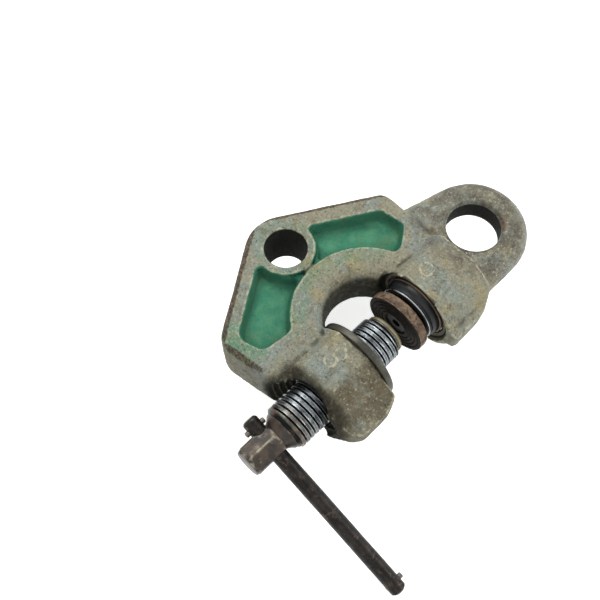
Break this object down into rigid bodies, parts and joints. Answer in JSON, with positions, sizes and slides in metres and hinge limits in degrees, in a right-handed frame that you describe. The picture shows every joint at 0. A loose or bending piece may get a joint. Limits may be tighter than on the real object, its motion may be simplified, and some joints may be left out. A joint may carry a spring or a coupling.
{
  "type": "screw lifting clamp",
  "caption": "Forged C-frame screw clamp with a lifting eye, a clamping screw turned by a sliding bar, and a swivelling serrated jaw pad.",
  "frame": {"origin": "centre of the lifting eye, on the forging's parting plane", "axes": "+X along the clamping screw from the handle towards the jaw and the eye; +Z through the lifting eye, across the forging's thickness; the mouth of the C opens towards -Y"},
  "size_m": [0.242, 0.2121, 0.0728],
  "materials": {
    "forged_steel": "olive-grey forging scale, green paint in the pockets, rust on the edges",
    "dark_steel": "blackened, worn and oily",
    "black_steel": "blackened thread with bright crests",
    "worn_steel": "bare steel with a tan stain",
    "rusty_steel": "brown rust with bright worn spots",
    "bright_steel": "spring steel, lightly dulled",
    "rubber": "black, oily sheen",
    "nylon": "off-white, greased"
  },
  "bodies": {
    "body": {"frame": "forged_steel", "screw_bush": "dark_steel", "bush_dowels": "bright_steel", "pad_seat": "dark_steel", "seat_retainer": "dark_steel", "retaining_circlip": "bright_steel", "dust_boot": "rubber", "boot_bead_ring": "bright_steel", "boot_garter_ring": "bright_steel"},
    "tip": {"screw_tip": "worn_steel", "tip_snap_ring": "bright_steel", "thrust_washer": "bright_steel"},
    "screw": {"main_screw": "black_steel"},
    "bar": {"tommy_bar": "dark_steel", "bar_end_pins": "dark_steel"},
    "liner": {"ball_liner": "nylon"},
    "ball": {"pad_ball": "dark_steel", "pad_bolt": "dark_steel", "pad_washer": "bright_steel"},
    "pad": {"swivel_pad": "rusty_steel"}
  },
  "joints": [
    {"name": "screw_feed", "type": "slide", "parent": "body", "child": "tip", "axis": [1, 0, 0], "range_m": [-0.024, 0.0049]},
    {"name": "screw_turn", "type": "hinge", "parent": "tip", "child": "screw", "pos_m": [-0.15, -0.0087, 0], "axis": [1, 0, 0], "range_deg": [-2468, 503]},
    {"name": "bar_slide", "type": "slide", "parent": "screw", "child": "bar", "axis": [0, 0.9348, 0.3551], "range_m": [0, 0.096]},
    {"name": "pad_tilt_y", "type": "hinge", "parent": "body", "child": "liner", "pos_m": [-0.058, -0.0087, 0], "axis": [0, 1, 0], "range_deg": [-5, 5]},
    {"name": "pad_tilt_z", "type": "hinge", "parent": "liner", "child": "ball", "pos_m": [-0.058, -0.0087, 0], "axis": [0, 0, 1], "range_deg": [-5, 5]},
    {"name": "pad_spin", "type": "hinge", "parent": "ball", "child": "pad", "pos_m": [-0.078, -0.0087, 0], "axis": [1, 0, 0], "continuous": true}
  ],
  "couplings": [
    {"joint": "screw_feed", "follows": "screw_turn", "m_per_rad": 0.00055704}
  ]
}
